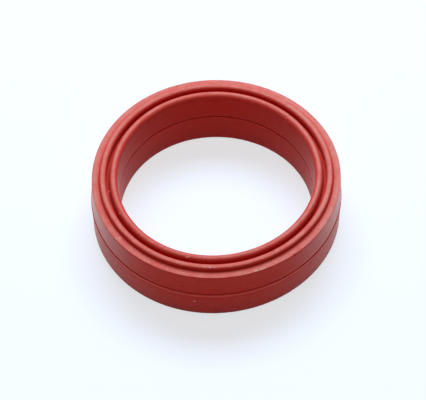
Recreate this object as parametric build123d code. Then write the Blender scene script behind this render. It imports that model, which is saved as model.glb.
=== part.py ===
"""Profiled ring gasket, moulded in one piece from red silicone rubber.

The ring is a solid of revolution about +Z. Each end face has, from the bore outwards: a rounded
sealing lip, a groove that lets the lip bend, a slightly lower rounded rib with a fine crease at its
foot, and a flat land that runs out to the rim. The mould's two halves meet on a parting line a
little above half way up. It leaves a fine notch round both walls, and a narrow raised band below
the notch on the outer wall, which is widest there.

The origin is on the axis, in the plane that the lower lip rests on. Lengths are in millimetres.
"""

import os

from build123d import *

# --- Driving dimensions ---------------------------------------------------------------------------
bore_radius = 19.6           # straight inner wall
end_face_width = 5.4         # from the bore's wall to the upper land's outer edge
upper_wall_lean = 0.25       # how much the outer wall widens from the upper rim to the parting line
lower_wall_lean = 0.1        # how much it narrows again from there to the lower rim

body_height = 12.0           # from the lower land to the upper land
upper_half_height = 5.4      # from the upper land down to the parting line
lip_height = 1.0             # each lip's crest above its land
rib_height = 0.95            # each rib's top above its land
groove_depth = 1.2           # each groove's floor below its land

lip_width = 1.65             # from the bore's wall to the lip's outer flank, at the crest
lip_slope_width = 0.72       # the lip's slope on the bore's side, across
lip_slope_height = 0.55      # the same slope, upwards
lip_flank_lean = 0.48        # how far the lip's outer flank leans out on its way to the groove's floor
groove_mouth = 0.95          # across the groove, between the lip's and the rib's sharp corners
rib_flank_lean = 0.08        # how far the rib's inner flank leans in on its way to the groove's floor
rib_width = 1.25             # across the rib, between its sharp corners
crease_run = 0.1             # from the rib's outer corner out to the crease's bottom
crease_rise = 0.14           # from the crease's bottom out to the land
crease_depth = 0.18          # the crease's bottom below the land

lip_bore_round = 0.85        # from the bore's wall onto the lip's slope
lip_crest_round = 0.8        # from the lip's slope onto its crest
lip_groove_round = 0.52      # from the lip's crest onto its outer flank
groove_floor_round = 0.15    # in both corners of the groove's floor
rib_groove_round = 0.3       # on the rib's inner corner
rib_land_round = 0.55        # on the rib's outer corner
rim_round = 0.08             # on the land's outer edge

notch_width = 0.26           # the parting notch's height on both walls
notch_depth = 0.3            # how far the parting notch goes into both walls
band_height = 0.9            # the raised band on the outer wall, from the notch down
band_proud = 0.1             # how far the band stands out from the outer wall

# --- Worked out from them -------------------------------------------------------------------------
upper_rim_radius = bore_radius + end_face_width
parting_radius = upper_rim_radius + upper_wall_lean
lower_rim_radius = parting_radius - lower_wall_lean

lower_land_level = lip_height
upper_land_level = lower_land_level + body_height
parting_level = upper_land_level - upper_half_height

lip_outer_radius = bore_radius + lip_width
rib_inner_radius = lip_outer_radius + groove_mouth
rib_outer_radius = rib_inner_radius + rib_width
crease_radius = rib_outer_radius + crease_run
land_inner_radius = crease_radius + crease_rise


def end_face_corners(land_level, outward, rim_radius):
    """One end face's sharp corners as (radius, height, round), from the bore to the rim.

    outward is +1 for the upper face and -1 for the lower one.
    """
    crest = land_level + outward * lip_height
    slope_foot = crest - outward * lip_slope_height
    rib_top = land_level + outward * rib_height
    groove_floor = land_level - outward * groove_depth
    crease_bottom = land_level - outward * crease_depth
    return [
        (bore_radius, slope_foot, lip_bore_round),
        (bore_radius + lip_slope_width, crest, lip_crest_round),
        (lip_outer_radius, crest, lip_groove_round),
        (lip_outer_radius + lip_flank_lean, groove_floor, groove_floor_round),
        (rib_inner_radius - rib_flank_lean, groove_floor, groove_floor_round),
        (rib_inner_radius, rib_top, rib_groove_round),
        (rib_outer_radius, rib_top, rib_land_round),
        (crease_radius, crease_bottom, 0),
        (land_inner_radius, land_level, 0),
        (rim_radius, land_level, rim_round),
    ]


def notch_corners(wall_radius, inward):
    """The parting line's V notch in one wall, from its upper edge to its lower edge.

    inward is the direction into the rubber: +1 from the bore, -1 from the outer wall.
    """
    half = notch_width / 2
    return [
        (wall_radius, parting_level + half, 0),
        (wall_radius + inward * notch_depth, parting_level, 0),
        (wall_radius, parting_level - half, 0),
    ]


def band_corners():
    """The raised band below the outer notch, from its upper edge to its lower edge."""
    band_radius = parting_radius + band_proud
    band_top = parting_level - notch_width / 2
    return [
        (band_radius, band_top - band_proud, 0),
        (band_radius, band_top - band_height + band_proud, 0),
        (parting_radius, band_top - band_height, 0),
    ]


def ring_section():
    """The ring's section in the XZ plane: the sharp outline first, then each corner's round."""
    upper_face = end_face_corners(upper_land_level, +1, upper_rim_radius)
    outer_wall = notch_corners(parting_radius, -1) + band_corners()
    lower_face = end_face_corners(lower_land_level, -1, lower_rim_radius)
    bore_wall = notch_corners(bore_radius, +1)
    corners = upper_face + outer_wall + lower_face[::-1] + bore_wall[::-1]

    with BuildSketch(Plane.XZ) as section:
        with BuildLine():
            Polyline([(radius, height) for radius, height, _ in corners], close=True)
        make_face()
        for radius, height, rounding in corners:
            if rounding:
                corner = section.vertices().sort_by_distance((radius, height))[0]
                fillet(corner, rounding)
    return section.sketch


def gasket_ring():
    """The whole ring: its section turned once round the axis."""
    return revolve(ring_section(), axis=Axis.Z)


ring = gasket_ring()
ring.label = "gasket_ring"

os.makedirs("parts", exist_ok=True)
export_step(ring, "parts/gasket_ring.step")

box = ring.bounding_box(optimal=True)
print(f"ring: {box.size.X:.2f} x {box.size.Y:.2f} x {box.size.Z:.2f} mm, {ring.volume:.1f} mm3")
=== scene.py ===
# %% [markdown]
# # A moulded silicone ring gasket
#
# The real thing is one piece of red silicone rubber, about 50 mm across and 14 mm high. It was
# squeezed into shape in a mould of two halves, so almost everything on it is a profile carried
# round a circle. The few things that are not are what makes it look real: the ring relaxes a
# little out of round, thin scraps of rubber are left where the mould leaked, and the surface is
# matt with a fine grain and a pale bloom.
#
# The model follows the same order. First comes the profile, then the circle, then the moulding
# marks, then the scraps, then the rubber itself, and last a plain table, its light and the camera.

import bmesh
import bpy
import numpy as np
from mathutils import Matrix, Vector


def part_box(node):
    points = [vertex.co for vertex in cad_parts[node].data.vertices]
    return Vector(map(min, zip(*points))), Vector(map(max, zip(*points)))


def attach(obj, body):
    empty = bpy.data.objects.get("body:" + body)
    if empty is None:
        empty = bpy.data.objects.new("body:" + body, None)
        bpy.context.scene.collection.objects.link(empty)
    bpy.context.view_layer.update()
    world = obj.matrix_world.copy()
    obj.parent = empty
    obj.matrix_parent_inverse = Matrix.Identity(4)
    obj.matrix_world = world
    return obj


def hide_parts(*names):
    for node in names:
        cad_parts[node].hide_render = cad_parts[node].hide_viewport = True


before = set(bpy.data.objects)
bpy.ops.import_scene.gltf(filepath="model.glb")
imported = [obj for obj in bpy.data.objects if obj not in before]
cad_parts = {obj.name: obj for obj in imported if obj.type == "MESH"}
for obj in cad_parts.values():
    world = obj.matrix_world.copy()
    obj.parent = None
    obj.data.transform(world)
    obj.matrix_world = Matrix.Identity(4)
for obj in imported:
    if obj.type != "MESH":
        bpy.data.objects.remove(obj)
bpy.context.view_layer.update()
ring_low, ring_high = (np.array(corner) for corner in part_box("gasket_ring"))
print("the ring's solid reaches from", ring_low.round(5), "to", ring_high.round(5))

# %% [markdown]
# ## Sizes
#
# A moulded part is drawn as a section, so every size here is one that a drawing of the section
# would carry. The section could be measured on the solid's mesh, but a named size is easier to
# understand and to change. The main sizes are the ones that the solid was made from. The groove,
# the notch, the bore's flare and the small rounds differ from it by a few tenths of a millimetre,
# because they were set by how they catch the light.
#
# Lengths are in millimetres. Radii are measured from the ring's axis, and heights from the table
# that the lower lip stands on.

# %% The ring's main sizes
MM = 0.001                  # one millimetre in metres

bore_radius = 19.6          # the inner wall at the parting line
flare_up = 0.24             # how far the bore opens out towards its upper end
flare_low = 0.04            # and towards its lower end
upper_rim = 25.0            # the upper land's outer edge
parting_radius = 25.25      # the outer wall where the mould's halves part
lower_rim = 25.15           # the lower land's outer edge

body_height = 12.0          # from the lower land to the upper one
upper_half = 5.4            # from the upper land down to the parting line
lip_height = 1.0            # each lip's crest above its land

lower_land = lip_height
upper_land = lower_land + body_height
mid_height = (upper_land + lower_land) / 2
parting = upper_land - upper_half
print("lands at", lower_land, "and", upper_land, "mm; the mould's halves part at", parting, "mm")

# %% [markdown]
# ## The end faces
#
# On the real seal the lip beside the bore is pressed down and seals, the groove gives it room to
# bend, and the rib behind the groove is pressed after it. The section of all this could be traced
# as a spline, but a spline wobbles where the real section is a straight draft or a true arc. A
# mould is cut on a lathe from straight runs joined by rounds, so the section is written the same
# way: sharp corners, each with the radius of its round.
#
# Both end faces of this kind of seal are the same, so one function lists an end face and is used
# twice. The lip is steep on the groove's side and leans towards the bore on the other, so its
# bore side gets two corners and two rounds.

# %% The end face's sizes
lip_width = 1.65            # from the bore to the lip's steep side
lip_slope_width = 0.72      # the lip's slope on the bore's side, across
lip_slope_height = 0.55     # the same slope, upwards
lip_side_top = 0.02         # the steep side's top corner lies this far past the lip's width
lip_side_foot = 0.42        # and its foot this far, so the side leans out as it goes down
groove_mouth = 0.95         # from the lip's steep side to the rib
groove_depth = 0.8          # the groove's floor below the land
rib_side_top = 0.08         # the rib's inner side juts this far into the groove at its top
rib_side_foot = 0.15        # and this far at its foot
rib_width = 1.25            # across the rib
rib_height = 0.95           # the rib's top above the land
rib_tuck = 0.05             # how far the rib's outer side draws in on its way down to the land

lip_outer = bore_radius + lip_width
rib_inner = lip_outer + groove_mouth
rib_outer = rib_inner + rib_width
print("the lip ends at", lip_outer, "mm and the rib runs from", rib_inner, "to", rib_outer, "mm")

# %% The end face's rounds
lip_bore_round = 0.85       # from the bore onto the lip's slope
lip_crest_round = 0.8       # from the slope onto the crest
lip_groove_round = 0.72     # from the crest onto the steep side
groove_floor_round = 0.04   # in both corners of the groove's floor
rib_groove_round = 0.58     # on the rib's inner corner
rib_land_round = 0.42       # on the rib's outer corner
rib_foot_round = 0.3        # where the rib meets the land
rim_round = 0.07            # on the land's outer edge


def end_face(land, outward, rim, flare):
    """One end face from the bore to the rim, as corners of (radius, height, round).

    outward is +1 for the upper face and -1 for the lower one. A corner's height is the land's
    height plus outward times how far the corner stands above the land.
    """
    crest = land + outward * lip_height
    rib_top = land + outward * rib_height
    floor = land - outward * groove_depth
    return [
        (bore_radius + flare, crest - outward * lip_slope_height, lip_bore_round),
        (bore_radius + lip_slope_width, crest, lip_crest_round),
        (lip_outer + lip_side_top, crest, lip_groove_round),
        (lip_outer + lip_side_foot, floor, groove_floor_round),
        (rib_inner - rib_side_foot, floor, groove_floor_round),
        (rib_inner - rib_side_top, rib_top, rib_groove_round),
        (rib_outer, rib_top, rib_land_round),
        (rib_outer - rib_tuck, land, rib_foot_round),
        (rim, land, rim_round),
    ]


upper_face = end_face(upper_land, +1, upper_rim, flare_up)
lower_face = end_face(lower_land, -1, lower_rim, flare_low)
print(len(upper_face), "sharp corners on each end face")

# %% [markdown]
# ## The parting line
#
# Where the mould's two halves meet, the rubber keeps a fine notch round both walls. On the outer
# wall a narrow band stands out below it, with a small undercut beneath. A bump map could draw such
# fine lines, but they would stop at the ring's outline and hold no shade of their own. So they are
# corners of the section like all the others.

# %% The parting line's sizes and corners
notch_depth = 0.5           # how far both notches go into the rubber
notch_reach = 0.17          # from the middle of the bore's notch to each of its edges
outer_notch_top = 0.25      # the outer notch's upper edge above the parting line
outer_notch_bottom = 0.06   # the outer notch's deepest point above the parting line
band_proud = 0.1            # how far the band stands out of the wall, and its undercut goes in
band_top = 0.2              # the band's upper edge below the parting line
band_low = 0.96             # the band's lower edge below the parting line
undercut_low = 1.08         # the undercut's deepest point below the parting line
wall_again = 1.2            # where the plain wall goes on, below the parting line
wall_draft = 0.01           # how far the wall above the notch and the band's lower edge lie back
fine_round = 0.03           # in the notches and the undercut
band_top_round = 0.05       # on the band's upper edge
band_low_round = 0.06       # on the band's lower edge and where the plain wall goes on

notch = [(bore_radius, parting - notch_reach, fine_round),
         (bore_radius + notch_depth, parting, fine_round),
         (bore_radius, parting + notch_reach, fine_round)]
band = [(parting_radius - wall_draft, parting + outer_notch_top, fine_round),
        (parting_radius - notch_depth, parting + outer_notch_bottom, fine_round),
        (parting_radius + band_proud, parting - band_top, band_top_round),
        (parting_radius + band_proud - wall_draft, parting - band_low, band_low_round),
        (parting_radius - band_proud, parting - undercut_low, fine_round),
        (parting_radius, parting - wall_again, band_low_round)]
corners = np.array(upper_face + band + lower_face[::-1] + notch)
print(len(corners), "sharp corners round the whole section")

# %% [markdown]
# ## Rounding every corner at once
#
# Rubber fills a mould with soft corners, and each one here has a round of its own. Blender's Bevel
# modifier gives one width to many edges at once, which suits a plain box better than a drawing
# whose rounds all differ. So the rounds are worked out as arcs.
#
# A round of radius r in a corner touches both of its sides at the same distance from it. That
# distance is r times the tangent of half the angle that the outline turns through. The arc's
# centre lies on the line that halves the corner. Worked out for whole arrays, one formula rounds
# all corners together, and the short arcs come out as rows of one table.

# %% A helper that rounds a closed outline
def rounded_outline(corners, arc_points, longest_run):
    """Points of a closed outline with all its corners rounded.

    With unit directions arriving and leaving at a corner, the outline turns through the angle
    between them. The arc starts at the corner minus arriving * radius * tan(turn / 2), its centre
    is one radius to the side that the outline turns to, and it sweeps through turn. The straight
    runs between the arcs are divided into pieces no longer than longest_run.
    """
    place, radius = corners[:, :2], corners[:, 2]
    arriving = place - np.roll(place, 1, axis=0)
    arriving /= np.linalg.norm(arriving, axis=1)[:, None]
    leaving = np.roll(arriving, -1, axis=0)
    cross = arriving[:, 0] * leaving[:, 1] - arriving[:, 1] * leaving[:, 0]
    turn = np.arctan2(cross, (arriving * leaving).sum(axis=1))
    side = np.sign(turn)[:, None] * np.stack([-arriving[:, 1], arriving[:, 0]], axis=1)
    start = place - arriving * (radius * np.tan(np.abs(turn) / 2))[:, None]
    sweep = np.linspace(0, 1, arc_points)[None, :] * np.abs(turn)[:, None]
    arcs = (start[:, None, :]
            + arriving[:, None, :] * (radius[:, None] * np.sin(sweep))[:, :, None]
            + side[:, None, :] * (radius[:, None] * (1 - np.cos(sweep)))[:, :, None])
    rough = arcs.reshape(-1, 2)
    onward = np.roll(rough, -1, axis=0) - rough
    pieces = np.maximum(np.ceil(np.linalg.norm(onward, axis=1) / longest_run).astype(int), 1)
    owner = np.repeat(np.arange(len(rough)), pieces)
    step = np.arange(len(owner)) - np.repeat(np.cumsum(pieces) - pieces, pieces)
    return rough[owner] + onward[owner] * (step / pieces[owner])[:, None]


section_r, section_z = rounded_outline(corners, arc_points=5, longest_run=0.8).T
print(len(section_r), "points round the section, from", section_z.min().round(3),
      "to", section_z.max().round(3), "mm high")

# %% [markdown]
# ## Round the circle, but not quite round
#
# Turning the section round the axis with the Screw modifier or with Spin would give a perfect
# ring. A soft ring that has been posted and handled is a little oval and a little three-cornered,
# by about a quarter of a millimetre. Its walls sway as one, because the rubber bends far more
# easily than it stretches.
#
# So each angle gets its own small shift of radius. The ring is a grid: one direction runs round
# the circle and the other round the section, and both close on themselves.

# %% The circle and its shift
STEPS_ROUND = 560
angle = np.arange(STEPS_ROUND) * 2 * np.pi / STEPS_ROUND

oval = 0.166                # how far the two-wave shape strays from round, in mm
lobes = 0.100               # the same for the three-wave shape
lobe_twist = 0.010          # a quarter wave further round, which turns the lobes a little


def out_of_round(angle):
    """Shift of radius in mm: oval * sin(2 angle) + lobes * cos(3 angle) + twist * sin(3 angle)."""
    return oval * np.sin(2 * angle) + lobes * np.cos(3 * angle) + lobe_twist * np.sin(3 * angle)


round_shift = out_of_round(angle)
grid_r = section_r[None, :] + round_shift[:, None]
grid_z = np.broadcast_to(section_z[None, :], grid_r.shape).copy()
print("the ring strays from round by", round_shift.min().round(3),
      "to", round_shift.max().round(3), "mm")

# %% [markdown]
# ## Moulding marks in the shape
#
# Some marks of the mould are deep enough to be shape. The soft lips sag slightly along their
# length. The edges of the lands were trimmed, so they are ragged by a few hundredths of a
# millimetre, more so on one stretch, and one spot is nicked. The rib's outer side leans in a
# little at the front, and the band under the parting line is uneven.
#
# They could be sculpted by hand, but then they would be lost with any change to the section. So
# each mark is a hill across the section, multiplied by a curve along the circle, and it moves the
# grid by that much.

# %% Helpers for marks
def bump(value, centre, width):
    """A smooth hill, 1 at centre and fading over width: exp(-((value - centre) / width)^2)."""
    return np.exp(-((value - centre) / width) ** 2)


def ramp(value, start, end):
    """A slope from 0 at start to 1 at end, level beyond: (value - start) / (end - start)."""
    return np.clip((value - start) / (end - start), 0, 1)


def wander(angle, waves, seed):
    """A smooth irregular wave that closes on itself, about 1 high.

    It is a sum of cosines with whole numbers of waves round the ring, each with a random height
    and a random place to start, divided by the root of the sum of the squared heights over two.
    """
    dice = np.random.default_rng(seed)
    height = dice.normal(size=len(waves))
    begin = dice.uniform(0, 2 * np.pi, size=len(waves))
    total = (height * np.cos(angle[..., None] * waves + begin)).sum(axis=-1)
    return total / np.sqrt((height ** 2).sum() / 2)


slow = np.arange(2, 9)      # waves round the ring
medium = np.arange(9, 40)
fast = np.arange(40, 200)

above_land = np.abs(section_z - mid_height) - body_height / 2   # height above the nearer land
facing = np.sign(section_z - mid_height)            # +1 on the upper half and -1 on the lower
print("the section reaches", above_land.max().round(3), "mm above its lands")

# %% The lips sag
slow_sag, medium_sag = 0.018, 0.008         # mm
clear_of_land = 0.2         # lower than this above the land, nothing sags

lip_sway = slow_sag * wander(angle, slow, seed=1) + medium_sag * wander(angle, medium, seed=2)
on_crest = bump(section_r, centre=lip_outer - 0.5, width=0.9) * (above_land > clear_of_land)
grid_z -= np.abs(lip_sway)[:, None] * on_crest * facing
print("the lip sags by", np.abs(lip_sway).max().round(3), "mm at most")

# %% The lands' edges are ragged, and nicked at one spot
rag_size = 0.022            # mm
rag_low, rag_high = -1.2, 1.6               # where the wave is cut off, in its own heights
least_torn, most_torn = 0.25, 1.0           # share of the rag on the good and the bad stretch
outward_share = 0.8         # how far the rag pushes the edge out, for each millimetre up
nick_size = 0.16            # mm

torn_stretch = bump(angle, centre=np.radians(292), width=np.radians(26))
torn = least_torn + (most_torn - least_torn) * torn_stretch
rag = torn * np.clip(wander(angle, fast, seed=3), rag_low, rag_high) * rag_size
on_edge = bump(section_r, centre=upper_rim, width=0.14) * bump(above_land, centre=0, width=0.14)
grid_z += rag[:, None] * on_edge * facing
grid_r += outward_share * rag[:, None] * on_edge

nick = nick_size * bump(angle, centre=np.radians(307.9), width=np.radians(0.5))
grid_z -= nick[:, None] * on_edge * facing
grid_r -= nick[:, None] * on_edge
print("the edge is ragged by", np.abs(rag).max().round(3),
      "mm and nicked by", nick.max().round(3), "mm")

# %% The rib leans in at the front, and the band is uneven
rib_lean = 0.12             # mm
slow_dent, fast_dent = 0.012, 0.018         # mm

lean = -rib_lean * bump(angle, centre=np.radians(270), width=np.radians(55))
on_rib_side = bump(section_r, centre=rib_outer, width=0.2) * bump(above_land, centre=0.2, width=0.4)
grid_r += lean[:, None] * on_rib_side

dents = fast_dent * wander(angle, fast, seed=4) + slow_dent * wander(angle, medium, seed=5)
on_band = (bump(section_r, centre=parting_radius + band_proud, width=0.09)
           * bump(section_z, centre=parting - 0.5, width=0.7))
grid_r += np.minimum(dents, 0.0)[:, None] * on_band
print("the rib leans in by", rib_lean,
      "mm and the band's dents are", -dents.min().round(3), "mm deep")

# %% [markdown]
# ## From grid to mesh
#
# The skin is the whole ring as it is seen. It could be a round curve with the section as its bevel
# profile, but a curve has one profile all along it, and the marks change round the ring. A grid
# can take them: its points become vertices and its cells become quads. Both directions close, so
# the last row joins the first and no seam is left. The corners of each quad are listed so that
# its face looks out of the rubber.

# %% A helper that makes a mesh of a grid
def grid_mesh(name, points, wrap_rows, wrap_columns):
    """A mesh of quads from a grid of points, shape (rows, columns, 3), in metres.

    The vertex in a row and a column has the number row * columns + column, and each quad joins it
    with its neighbours in the next row and column, counted round again from 0 where the grid
    closes.
    """
    rows, columns = points.shape[:2]
    row = np.arange(rows if wrap_rows else rows - 1)[:, None]
    column = np.arange(columns if wrap_columns else columns - 1)[None, :]
    next_row, next_column = (row + 1) % rows, (column + 1) % columns
    quads = np.stack([row * columns + column, next_row * columns + column,
                      next_row * columns + next_column, row * columns + next_column], axis=-1)
    quads = quads.reshape(-1, 4)
    mesh = bpy.data.meshes.new(name)
    mesh.vertices.add(rows * columns)
    mesh.vertices.foreach_set("co", points.reshape(-1).astype(np.float32))
    mesh.loops.add(quads.size)
    mesh.loops.foreach_set("vertex_index", quads.reshape(-1).astype(np.int32))
    mesh.polygons.add(len(quads))
    mesh.polygons.foreach_set("loop_start", np.arange(0, quads.size, 4, dtype=np.int32))
    mesh.update(calc_edges=True)
    mesh.validate()
    mesh.shade_smooth()
    return mesh


# %% The ring's skin
def add_piece(name, mesh):
    """An object for a finished mesh, at the origin, riding on the gasket's one body."""
    piece = bpy.data.objects.new(name, mesh)
    bpy.context.collection.objects.link(piece)
    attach(piece, "root")
    return piece


eastward, northward = np.cos(angle)[:, None], np.sin(angle)[:, None]
ring_points = np.stack([grid_r * eastward, grid_r * northward, grid_z], axis=-1)
ring_skin = add_piece("ring_skin", grid_mesh("ring_skin", ring_points * MM, True, True))
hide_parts("gasket_ring")
print("the skin has", len(ring_skin.data.polygons), "quads")

# %% [markdown]
# ## Where the colour changes, with painted light and shade
#
# The colour isn't the same all over. Shade in the creases is painted as a deeper red. The band's
# upper edge, the bore just under the parting line and the grooves' floors get a brighter red, as
# painted light. A pale film on the flat faces is partly bloom and partly the lamp's painted
# highlight, and the outer wall has dust and a painted sheen.
#
# A painted texture could say where, but it needs a flat layout of the ring, and it goes out of
# step with the shape when a size changes. Every row of the grid has the same section, so each
# effect is one share, from 0 to about 1, for each point of the section. It is worked out from the
# same sizes and kept in the mesh as an attribute, and the shader reads it by its name.

# %% Places on the section
run_r = np.roll(section_r, -1) - np.roll(section_r, 1)
run_z = np.roll(section_z, -1) - np.roll(section_z, 1)
flatness = np.abs(run_r) / np.hypot(run_r, run_z)   # 1 on a level face and 0 on a wall

bore_skin = 0.03            # a point this near the bore's wall is on it
rim_skin = 0.1              # a point this near the upper rim's radius, or past it, is outside
notch_skin = 0.04           # a point further than this inside the outer wall is in its notch
notch_zone = 0.35           # the notches lie this near the parting line
groove_margin = 0.1         # the groove's shade starts this far on the lip and on the rib
floor_top = -0.5            # the groove's floor lies below this
level_enough = 0.7          # and is at least this flat

mid_radius = (bore_radius + upper_rim) / 2
upper = section_z > parting
on_bore = section_r < bore_radius + bore_skin
on_outside = section_r > upper_rim - rim_skin
near_parting = np.abs(section_z - parting) < notch_zone
in_bore_notch = near_parting & (section_r < mid_radius) & ~on_bore
in_outer_notch = near_parting & (section_r > mid_radius) & (section_r < parting_radius - notch_skin)
in_groove = (section_r > lip_outer - groove_margin) & (section_r < rib_inner + groove_margin)
on_floor = in_groove & (above_land < floor_top) & (flatness > level_enough)
print(on_floor.sum(), "points of the section on the grooves' floors,",
      (in_bore_notch | in_outer_notch).sum(), "in the notches")

# %% Painted shade: a deeper red in the creases
# This is painted shade, not a colour of the rubber: the notches, the lower groove, the rib's foot
# and the outer wall's foot next to the table are darkened where shade falls.
notch_share, groove_share, foot_share, base_share = 1.0, 0.4, 0.3, 0.55

notch_dark = notch_share * (in_bore_notch | in_outer_notch)
groove_dark = groove_share * ramp(above_land, start=0.6, end=-0.3) * (in_groove & ~on_floor)
foot_dark = (foot_share * bump(section_r, centre=rib_outer + 0.06, width=0.08)
             * bump(above_land, centre=0.03, width=0.1))
base_dark = base_share * on_outside * bump(section_z, centre=lower_land, width=0.45)
crease = np.max([notch_dark, groove_dark, foot_dark, base_dark], axis=0)
print("crease: mean share", crease.mean().round(3))

# %% Painted light: a brighter red on the ledges and the grooves' floors
# This is painted light: the band's upper edge and the bore below the notch get a painted highlight,
# and the grooves' floors the light that falls and bounces into them.
floor_share, bore_share = 0.45, 0.25

band_bright = (bump(section_r, centre=parting_radius + band_proud, width=0.06)
               * bump(section_z, centre=parting - 0.22, width=0.07))
bore_bright = bore_share * on_bore * bump(section_z, centre=parting - 0.3, width=0.2)
painted_light = np.where(on_floor, floor_share, band_bright + bore_bright)
print("ledge: mean share", painted_light.mean().round(3))

# %% Bloom and painted highlight on the flat faces
# The pale film is partly bloom and partly the lamp's highlight painted into the colour. The rib's
# inner side and the grooves' floors get it as painted light, and the upper outer wall as dust and a
# painted reflection.
groove_floor_light, side_highlight, wall_dust_and_reflection = 0.15, 0.24, 0.06
rib_shade_cut = 0.85           # share of the pale film taken away round the rib's foot, as painted shade where the rib shades the land
foot_top = 0.35             # the rib's foot lies below this
land_low = -0.06            # a level face above this is a land, a rib or a lip
wall_reach = 0.3            # the outer wall lies this near the parting radius

flat_part = ramp(flatness, start=0.8, end=0.99) * (above_land > land_low)
side_part = side_highlight * ramp(above_land, start=0.15, end=0.75)
wall_part = wall_dust_and_reflection * (upper & (section_r > parting_radius - wall_reach))
bloom_and_highlight = np.where(on_floor, groove_floor_light, np.max([flat_part, side_part, wall_part], axis=0))
near_foot = bump(section_r, centre=rib_outer + 0.1, width=0.22) * (above_land < foot_top)
bloom_and_highlight = bloom_and_highlight * (1 - rib_shade_cut * near_foot)
print("film: mean share", bloom_and_highlight.mean().round(3))

# %% Dust and painted sheen on the outer wall, and the attributes
upper_dust_and_sheen, lower_dust_and_sheen, bore_sheen = 1.2, 0.3, 0.2
bore_reach = 0.3            # the flared bore lies this near its least radius
below_lip = -0.1            # and its painted sheen ends this far below the land

# The outer wall's dust comes with a painted sheen: the shader lays a pale colour on it where the
# wall is seen edge on, more on the upper half, and a little on the upper bore.
wall_dust_and_sheen = on_outside * np.where(upper, upper_dust_and_sheen, lower_dust_and_sheen) * (1.0 - bloom_and_highlight)
upper_bore = upper & (section_r < bore_radius + bore_reach) & (above_land < below_lip)
outer = (wall_dust_and_sheen + bore_sheen * upper_bore) * (1.0 - crease)

# The pale film is strongest on the ring's +X side and weakest at its front: painted light, brighter
# where more light falls.
painted_light_falloff = 1.08 + 0.10 * np.cos(angle) + 0.10 * np.cos(2 * angle) + 0.04 * np.sin(angle)
shares = {"crease": crease, "painted_light": painted_light, "bloom_and_highlight": bloom_and_highlight[None, :] * painted_light_falloff[:, None], "outer": outer}
for label, share in shares.items():
    column = ring_skin.data.attributes.new(label, "FLOAT", "POINT")
    values = np.broadcast_to(share, grid_r.shape).reshape(-1)
    column.data.foreach_set("value", values.astype(np.float32))
print("the skin carries the attributes", ", ".join(shares))

# %% [markdown]
# ## Scraps of flash
#
# Where a mould leaks, a film of rubber thinner than paper is left. Most of it is torn off, and
# what stays are crumbs on the faces and a web across the groove. They could be pulled out of the
# skin, but they are hardly larger than its cells, so they are pads of their own that lie on the
# surface. Each is a squashed ball whose outline swells and shrinks.
#
# Every pad has a place on the ring, the way that its face looks, and its size. Looking up is 90
# degrees and looking straight out is 0.

# %% A helper for one pad
PAD_STEPS, PAD_RINGS = 14, 9
PAD_FACES = PAD_STEPS * (PAD_RINGS - 1)


def pad_points(degrees, radius, height, looks, long, wide, thick, turn, seed):
    """Points of one pad, a squashed ball, in mm.

    With around as the angle round its rim and rise as the angle from its rim to its poles, a
    ball's point has the parts cos around * cos rise, sin around * cos rise and sin rise. They are
    scaled by half the length, width and thickness and laid along the circle, along the section
    and off the surface. The rim is multiplied by 1 + 0.3 cos(2 around + first) +
    0.2 cos(3 around + second), with first and second random, so no two pads look the same.
    """
    first, second = np.random.default_rng(seed).uniform(0, 2 * np.pi, 2)
    around = np.arange(PAD_STEPS)[None, :] * 2 * np.pi / PAD_STEPS
    rise = np.radians(np.linspace(-90, 90, PAD_RINGS))[:, None]
    lumps = 1 + 0.3 * np.cos(2 * around + first) + 0.2 * np.cos(3 * around + second)
    east = long / 2 * np.cos(around) * np.cos(rise) * lumps
    north = wide / 2 * np.sin(around) * np.cos(rise) * lumps
    off = thick / 2 * np.sin(rise) * np.ones_like(around)
    turn, looks, at = np.radians([turn, looks, degrees])
    along = east * np.cos(turn) - north * np.sin(turn)
    across = east * np.sin(turn) + north * np.cos(turn)
    out = np.array([np.cos(at), np.sin(at), 0])
    round_way = np.array([-np.sin(at), np.cos(at), 0])
    up = np.array([0, 0, 1])
    normal = np.cos(looks) * out + np.sin(looks) * up
    slope = np.sin(looks) * out - np.cos(looks) * up
    centre = (radius + out_of_round(at)) * out + (upper_land + height) * up
    return (centre + along[..., None] * round_way + across[..., None] * slope
            + off[..., None] * normal)


print("each pad has", PAD_FACES, "faces")

# %% The crumbs and the web
# Each row gives degrees round the ring, radius, height above the land, the way that the face
# looks, length, width, thickness and turn. The web is one strand across the groove and a fringe
# of three beside it, on the rib's inner corner.
crumbs = [
    (207.0, 21.26, 0.74, 40, 0.36, 0.15, 0.10, 10),
    (218.6, 24.15, 0.00, 90, 0.34, 0.20, 0.10, 0),
    (254.1, 21.22, 0.86, 50, 0.30, 0.16, 0.10, 60),
    (255.2, 21.12, 0.94, 60, 0.40, 0.14, 0.10, -20),
    (260.0, parting_radius - 0.02, -7.95, 0, 0.55, 0.16, 0.12, -12),
    (264.6, 23.10, 0.90, 60, 0.40, 0.15, 0.12, 20),
    (266.8, 23.10, 0.90, 60, 0.75, 0.18, 0.14, 0),
    (268.9, 23.12, 0.90, 60, 0.35, 0.14, 0.12, -30),
    (288.3, 24.80, 0.01, 90, 0.75, 0.14, 0.10, 30),
    (289.8, 24.66, 0.01, 90, 0.80, 0.14, 0.10, 25),
    (291.0, 24.82, 0.01, 90, 0.70, 0.13, 0.10, 20),
    (292.4, 24.72, 0.01, 90, 0.75, 0.13, 0.10, 30),
    (237.9, 24.60, 0.00, 90, 0.22, 0.12, 0.06, 0),
]
web = [
    (190.8, 21.80, 0.40, 90, 0.30, 0.90, 0.12, 25),
    (192.6, 22.12, 0.66, 120, 0.50, 0.30, 0.10, 15),
    (194.4, 22.15, 0.70, 120, 0.45, 0.26, 0.10, -10),
    (196.5, 22.15, 0.74, 120, 0.50, 0.22, 0.10, 10),
]
print(len(crumbs), "crumbs and a web of", len(web), "pads")

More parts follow.
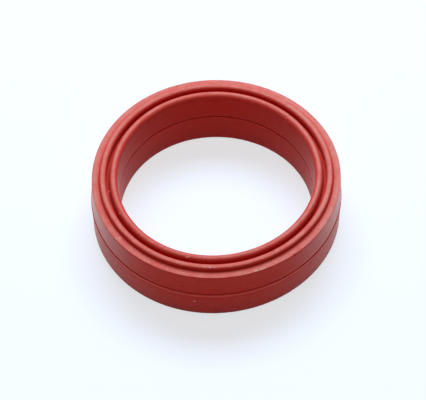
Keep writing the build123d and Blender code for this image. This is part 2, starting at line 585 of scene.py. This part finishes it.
# %% All pads in one mesh
# The grid's first and last rows are poles, so their points are merged there and the faces of the
# whole mesh are turned outwards. The crumbs take the first material and the web the second.
same_point = 1e-8           # metres
scrap_mesh = bmesh.new()
for number, pad in enumerate(crumbs + web):
    scrap_mesh.from_mesh(grid_mesh("pad", pad_points(*pad, number) * MM, False, True))
bmesh.ops.remove_doubles(scrap_mesh, verts=scrap_mesh.verts, dist=same_point)
bmesh.ops.recalc_face_normals(scrap_mesh, faces=scrap_mesh.faces)
scraps = bpy.data.meshes.new("flash_scraps")
scrap_mesh.to_mesh(scraps)
scrap_mesh.free()
scraps.shade_smooth()
material_of_pad = np.array([0] * len(crumbs) + [1] * len(web), dtype=np.int32)
scraps.polygons.foreach_set("material_index", np.repeat(material_of_pad, PAD_FACES))
flash_scraps = add_piece("flash_scraps", scraps)
print(len(material_of_pad), "scraps with", len(scraps.polygons), "faces")

# %% [markdown]
# ## The rubber
#
# Silicone filled with red iron oxide is a deep matt red with little gloss. What makes its flat
# faces look pink is some bloom on top of the red and the lamp's highlight, which here is painted
# into the colour. One Principled BSDF could have a plain pink, but then the creases and the walls
# would be pink too. So its Base Color is mixed from the red, a deeper red of painted shade and
# paler ones of bloom, painted light and painted sheen, by the attributes, and its gloss and sheen
# are kept low.
#
# Two effects vary over the surface. A fine grain comes from the blasted mould, and slow clouds
# come from the bloom. Both are shader groups, so that any other rubber piece can use them with
# its own values. First come the helpers that build and join nodes.

# %% Helpers for shader nodes
def shader_group(name, inputs, outputs):
    """A new node group with named sockets, and the nodes where they enter and leave it.

    inputs maps a name to its socket's type and first value, and outputs maps a name to a type.
    """
    group = bpy.data.node_groups.new(name, "ShaderNodeTree")
    for label, (kind, value) in inputs.items():
        socket = group.interface.new_socket(name=label, in_out="INPUT", socket_type=kind)
        if value is not None:
            socket.default_value = value
    for label, kind in outputs.items():
        group.interface.new_socket(name=label, in_out="OUTPUT", socket_type=kind)
    return group, group.nodes.new("NodeGroupInput"), group.nodes.new("NodeGroupOutput")


def add_node(tree, kind, values=None, **settings):
    """A node with its settings and its unlinked input values filled in."""
    node = tree.nodes.new(kind)
    for key, value in settings.items():
        setattr(node, key, value)
    for socket, value in (values or {}).items():
        node.inputs[socket].default_value = value
    return node


def wire(tree, *links):
    """Join sockets. Each link gives a node, its output, the next node and that node's input.

    A socket is given by its name, or by its number where several share a name.
    """
    for source, output, target, entry in links:
        tree.links.new(source.outputs[output], target.inputs[entry])


print("helpers:", shader_group.__name__, add_node.__name__, wire.__name__)

# %% [markdown]
# ### Grain
#
# A mould is blasted with fine grit, and the rubber copies its grain and a few tiny pits. Grain
# this fine could be real displacement only with millions of faces, so it is a height for a Bump
# node: a noise about a quarter of a millimetre across with finer layers in it, minus small round
# pits, one in each cell of a pattern of cells about a millimetre across.

# %% The grain group
grain, grain_in, grain_out = shader_group(
    "blasted_grain",
    {"Vector": ("NodeSocketVector", None), "Grains per metre": ("NodeSocketFloat", 4200.0),
     "Pits per metre": ("NodeSocketFloat", 900.0), "Pit depth": ("NodeSocketFloat", 0.6)},
    {"Height": "NodeSocketFloat"})
fine = add_node(grain, "ShaderNodeTexNoise", {"Detail": 3.0, "Roughness": 0.6})
cells = add_node(grain, "ShaderNodeTexVoronoi", {"Randomness": 1.0}, feature="F1")
pit = add_node(grain, "ShaderNodeMapRange",
               {"From Min": 0.06, "From Max": 0.2, "To Min": 1.0, "To Max": 0.0},
               interpolation_type="SMOOTHSTEP")
depth = add_node(grain, "ShaderNodeMath", operation="MULTIPLY")
relief = add_node(grain, "ShaderNodeMath", operation="SUBTRACT")
wire(grain,
     (grain_in, "Vector", fine, "Vector"),
     (grain_in, "Grains per metre", fine, "Scale"),
     (grain_in, "Vector", cells, "Vector"),
     (grain_in, "Pits per metre", cells, "Scale"),
     (cells, "Distance", pit, "Value"),
     (pit, "Result", depth, 0),
     (grain_in, "Pit depth", depth, 1),
     (fine, "Fac", relief, 0),
     (depth, "Value", relief, 1),
     (relief, "Value", grain_out, "Height"))
print("the grain group has", len(grain.nodes), "nodes")

# %% [markdown]
# ### Bloom and painted highlight
#
# Bloom is a faint pale film that comes out of the rubber and lies on its flat faces, in patches of
# a few millimetres with finer ones in them. It could be a second layer of geometry, but it is far
# thinner than a hair, so it only changes the colour and the gloss. The group mixes the rubber's
# red with a paler one, which also stands for the lamp's highlight on the flat faces, painted into
# the colour. The paler one's share is Cover * (1 - Patchiness * noise), and it leaves the group as
# a second value too, which sets the roughness.

# %% The bloom group
bloom_and_highlight_group, bloom_and_highlight_in, bloom_and_highlight_out = shader_group(
    "pale_bloom_and_highlight",
    {"Vector": ("NodeSocketVector", None), "Rubber": ("NodeSocketColor", (0.62, 0.015, 0.004, 1.0)),
     "Pale film": ("NodeSocketColor", (0.70, 0.25, 0.23, 1.0)), "Cover": ("NodeSocketFloat", 1.0),
     "Patchiness": ("NodeSocketFloat", 0.5), "Patches per metre": ("NodeSocketFloat", 400.0)},
    {"Color": "NodeSocketColor", "Film": "NodeSocketFloat"})
clouds = add_node(bloom_and_highlight_group, "ShaderNodeTexNoise", {"Detail": 5.0, "Roughness": 0.75})
thin = add_node(bloom_and_highlight_group, "ShaderNodeMapRange", {"From Min": 0.3, "From Max": 0.7})
taken = add_node(bloom_and_highlight_group, "ShaderNodeMath", operation="MULTIPLY")
kept = add_node(bloom_and_highlight_group, "ShaderNodeMath", {0: 1.0}, operation="SUBTRACT")
covering = add_node(bloom_and_highlight_group, "ShaderNodeMath", operation="MULTIPLY")
blend = add_node(bloom_and_highlight_group, "ShaderNodeMix", data_type="RGBA")
wire(bloom_and_highlight_group,
     (bloom_and_highlight_in, "Vector", clouds, "Vector"),
     (bloom_and_highlight_in, "Patches per metre", clouds, "Scale"),
     (clouds, "Fac", thin, "Value"),
     (thin, "Result", taken, 0),
     (bloom_and_highlight_in, "Patchiness", taken, 1),
     (taken, "Value", kept, 1),
     (kept, "Value", covering, 0),
     (bloom_and_highlight_in, "Cover", covering, 1),
     (covering, "Value", blend, "Factor"),
     (bloom_and_highlight_in, "Rubber", blend, "A"),
     (bloom_and_highlight_in, "Pale film", blend, "B"),
     (blend, "Result", bloom_and_highlight_out, "Color"),
     (covering, "Value", bloom_and_highlight_out, "Film"))
print("the bloom group has", len(bloom_and_highlight_group.nodes), "nodes")

# %% [markdown]
# ### The silicone itself
#
# The material lays four colours over each other, from the red with bloom and painted highlight
# through the deep red of painted shade in the creases and the bright red of painted light on the
# ledges to the dust and painted sheen on the outer wall. That sheen is a pale colour where the wall
# is seen edge on, as the fuzz on a peach looks. A Principled BSDF's own Sheen does this all over
# the piece, also in the groove and the bore, where the real ring stays red. So Sheen stays very
# low, and a Layer Weight node paints a sheen of its own into the outer wall's Base Color.
#
# The specular level and the sheen are the same all over, so they are set on the shader's own
# sockets. The roughness follows the pale film's share, from 0.28 on bare rubber to 0.36 under a
# full film. Grain and the pale film read Object coordinates, which keep the patterns in place on a
# piece that lies at the origin.

# %% The silicone's nodes
# The first colour is painted shade for the creases, the second painted light for the ledges and the
# grooves' floors, and the third the outer wall's dust with a painted sheen.
painted_shade_red = (0.29, 0.004, 0.002, 1.0)
painted_light_red = (0.85, 0.09, 0.07, 1.0)
dust_and_sheen_pink = (0.90, 0.45, 0.44, 1.0)

silicone = bpy.data.materials.new("red_silicone")
silicone.use_nodes = True
tree = silicone.node_tree
rubber = tree.nodes["Principled BSDF"]
rubber.inputs["Specular IOR Level"].default_value = 0.065
rubber.inputs["Sheen Weight"].default_value = 0.04
rubber.inputs["Sheen Roughness"].default_value = 0.42

place = add_node(tree, "ShaderNodeTexCoord")
reader = {label: add_node(tree, "ShaderNodeAttribute", attribute_name=label) for label in shares}
skin_bloom_and_highlight = add_node(tree, "ShaderNodeGroup", node_tree=bloom_and_highlight_group)
skin_grain = add_node(tree, "ShaderNodeGroup", node_tree=grain)
matt = add_node(tree, "ShaderNodeMapRange", {"To Min": 0.28, "To Max": 0.36})
bumps = add_node(tree, "ShaderNodeBump", {"Strength": 1.0, "Distance": 0.00022})
darker = add_node(tree, "ShaderNodeMix", {"B": painted_shade_red}, data_type="RGBA")
paler = add_node(tree, "ShaderNodeMix", {"B": painted_light_red}, data_type="RGBA")
dust_and_sheen_mix = add_node(tree, "ShaderNodeMix", {"B": dust_and_sheen_pink}, data_type="RGBA")
# Layer Weight paints a pale sheen into the outer wall's Base Color where it is seen edge on.
slant = add_node(tree, "ShaderNodeLayerWeight", {"Blend": 0.5})
grazing = add_node(tree, "ShaderNodeMapRange", {"From Min": 0.45, "From Max": 0.97, "To Max": 1.0},
                   interpolation_type="SMOOTHSTEP")
on_wall = add_node(tree, "ShaderNodeMath", operation="MULTIPLY")
print("the silicone has", len(tree.nodes), "nodes")

# %% The silicone's links
wire(tree,
     (place, "Object", skin_bloom_and_highlight, "Vector"),
     (reader["bloom_and_highlight"], "Fac", skin_bloom_and_highlight, "Cover"),
     (skin_bloom_and_highlight, "Color", darker, "A"),
     (reader["crease"], "Fac", darker, "Factor"),
     (darker, "Result", paler, "A"),
     (reader["painted_light"], "Fac", paler, "Factor"),
     (paler, "Result", dust_and_sheen_mix, "A"),
     (slant, "Facing", grazing, "Value"),
     (grazing, "Result", on_wall, 0),
     (reader["outer"], "Fac", on_wall, 1),
     (on_wall, "Value", dust_and_sheen_mix, "Factor"),
     (dust_and_sheen_mix, "Result", rubber, "Base Color"),
     (skin_bloom_and_highlight, "Film", matt, "Value"),
     (matt, "Result", rubber, "Roughness"),
     (place, "Object", skin_grain, "Vector"),
     (skin_grain, "Height", bumps, "Height"),
     (bumps, "Normal", rubber, "Normal"))
ring_skin.data.materials.append(silicone)
print("the silicone has", len(tree.links), "links")

# %% [markdown]
# ### The scraps' rubber
#
# A scrap is so thin that light goes through it, so crumbs look almost white and the thicker web a
# paler red. Real translucency would cost render time on pieces of half a millimetre, and could
# hardly be seen. So each is a copy of the silicone, with its grain, and with one colour in place
# of the mixed one: the light through the scrap and the crumbs' glints are painted into that colour.

# %% The crumbs' and the web's material
def tinted_copy(name, color):
    """A copy of the silicone whose Base Color is one colour and no longer linked."""
    tinted = silicone.copy()
    tinted.name = name
    base = tinted.node_tree.nodes["Principled BSDF"].inputs["Base Color"]
    tinted.node_tree.links.remove(base.links[0])
    base.default_value = color
    return tinted


# Painted light: the crumbs' near white and the web's paler red stand for light through the thin
# rubber and small glints.
flash_scraps.data.materials.append(tinted_copy("crumbs_painted_glint", (0.92, 0.66, 0.60, 1.0)))
flash_scraps.data.materials.append(tinted_copy("red_web_painted_light_through", (0.62, 0.10, 0.08, 1.0)))
print("the scraps have", len(flash_scraps.data.materials), "materials")

# %% [markdown]
# ## The table
#
# The ring lies on a plain white table. A table that only reflects light looks white only under
# so much light that the ring would bleach. So Light Path splits it in two. For light that bounces
# it is a plain pale sheet. For the camera and for reflections it is a steady glow plus a bluish
# diffuse part, which the lamp lifts to white except in the ring's shadow.

# %% A helper for what is seen and what lights
def show_instead(tree, lighting, shown, surface):
    """Use one shader for bounced light and another for what the camera and reflections see.

    The factor is the larger of Is Camera Ray and Is Glossy Ray, so it is 1 when either is 1.
    """
    ray = add_node(tree, "ShaderNodeLightPath")
    either = add_node(tree, "ShaderNodeMath", operation="MAXIMUM")
    choose = add_node(tree, "ShaderNodeMixShader")
    wire(tree,
         (ray, "Is Camera Ray", either, 0),
         (ray, "Is Glossy Ray", either, 1),
         (either, "Value", choose, 0),
         (lighting, 0, choose, 1),
         (shown, 0, choose, 2),
         (choose, "Shader", surface, "Surface"))


print("helper:", show_instead.__name__)

# %% The table's sheet
TABLE_REACH = 3.0           # metres from the ring to each edge

table_line = np.linspace(-TABLE_REACH, TABLE_REACH, 3)
table_points = np.stack(np.meshgrid(table_line, table_line, [0.0]), axis=-1)[:, :, 0, :]
table_mesh = grid_mesh("table", table_points[::-1], False, False)
table = bpy.data.objects.new("table", table_mesh)
bpy.context.collection.objects.link(table)
print("the table is", 2 * TABLE_REACH, "m across")

# %% The table's material
paper = bpy.data.materials.new("white_table")
paper.use_nodes = True
tree = paper.node_tree
sheet = tree.nodes["Principled BSDF"]
sheet.inputs["Base Color"].default_value = (0.72, 0.71, 0.70, 1)
sheet.inputs["Roughness"].default_value = 0.9
sheet.inputs["Specular IOR Level"].default_value = 0.2
faint = add_node(tree, "ShaderNodeBsdfDiffuse", {"Color": (0.25, 0.34, 0.48, 1.0)})
glow = add_node(tree, "ShaderNodeEmission", {"Color": (1.0, 1.0, 1.0, 1.0), "Strength": 0.675})
both = add_node(tree, "ShaderNodeAddShader")
wire(tree,
     (faint, "BSDF", both, 0),
     (glow, "Emission", both, 1))
show_instead(tree, sheet, both, tree.nodes["Material Output"])
table.data.materials.append(paper)
print("the table's material has", len(tree.nodes), "nodes")

# %% [markdown]
# ## The lamp and the room
#
# A small object on a white table is usually lit by one large soft lamp above and behind it. The
# faces that look up are bright, the walls that look at the viewer get only what the table and the
# room send back, and the shadow is soft. A sun lamp would light the whole table evenly, but an
# area lamp also gives the gentle fall of light from the back to the front, so it is a wide area
# lamp half a metre away, turned to face the ring.
#
# The room is a dim warm grey for the ring and a pale white for the camera and for reflections,
# by the same split as the table's.

# %% The lamp
lamp_wide, lamp_deep = 0.42, 0.24           # metres
lamp_distance = 0.5                         # metres from the ring
lamp_power = 2.7                            # watts
lamp_rise = np.radians(57)                  # above the table
lamp_bearing = np.radians(90)               # behind the ring

lamp_data = bpy.data.lights.new("soft_lamp", "AREA")
lamp_data.shape = "RECTANGLE"
lamp_data.size, lamp_data.size_y = lamp_wide, lamp_deep
lamp_data.energy = lamp_power
lamp = bpy.data.objects.new("soft_lamp", lamp_data)
towards_lamp = Vector((np.cos(lamp_rise) * np.cos(lamp_bearing),
                       np.cos(lamp_rise) * np.sin(lamp_bearing), np.sin(lamp_rise)))
lamp.rotation_euler = towards_lamp.to_track_quat("Z", "Y").to_euler()
lamp.location = towards_lamp * lamp_distance
bpy.context.collection.objects.link(lamp)
print("the lamp is", np.degrees(lamp_rise).round(), "degrees up, behind the ring")

# %% The room
room = bpy.data.worlds.new("room")
bpy.context.scene.world = room
room.use_nodes = True
tree = room.node_tree
dim = tree.nodes["Background"]
dim.inputs["Color"].default_value = (1.0, 0.98, 0.95, 1)
dim.inputs["Strength"].default_value = 0.26
pale = add_node(tree, "ShaderNodeBackground", {"Color": (0.955, 0.995, 1.0, 1), "Strength": 1.0})
show_instead(tree, dim, pale, tree.nodes["World Output"])
bpy.context.scene.view_settings.view_transform = "Standard"
print("the room lights the ring at a strength of", round(dim.inputs["Strength"].default_value, 2))

# %% [markdown]
# ## The camera
#
# A small object is usually taken with a long lens from some way off, which keeps its circles
# nearly true ellipses. The camera could be placed by hand and turned to follow the ring, but its
# place then says little. Here it is worked out from what it looks at: a point just in front of
# the centre of the upper land, seen from half a metre away at 53 degrees down, with a roll of
# half a degree.

# %% The camera
view_down = np.radians(53.22)               # how steeply it looks down
view_roll = np.radians(-0.473)              # how far it is turned about its own line of sight
view_distance = 20 * upper_rim              # mm
aim_below, aim_left = 0.1931, 0.022         # from the land's centre to the aim, in rim radii
lens_length, sensor_width = 210.5, 36       # mm
nearest_seen = 0.01                         # metres

land_centre = np.array([0, 0, upper_land])
right = np.array([1, 0, 0])
ahead = np.array([0, np.cos(view_down), -np.sin(view_down)])
down = np.cross(ahead, right)
across = np.cos(view_roll) * right - np.sin(view_roll) * down
below = np.sin(view_roll) * right + np.cos(view_roll) * down
aim = land_centre + upper_rim * (aim_below * below - aim_left * across)
camera_place = (aim - view_distance * ahead) * MM

camera_data = bpy.data.cameras.new("camera")
camera_data.sensor_width = sensor_width
camera_data.lens = lens_length
camera_data.clip_start = nearest_seen
camera = bpy.data.objects.new("camera", camera_data)
turned = np.eye(4)
turned[:3, :] = np.column_stack([across, -below, -ahead, camera_place])
camera.matrix_world = Matrix(turned.tolist())
bpy.context.collection.objects.link(camera)
bpy.context.scene.camera = camera
print("the camera is at", [round(value, 4) for value in camera.matrix_world.translation])
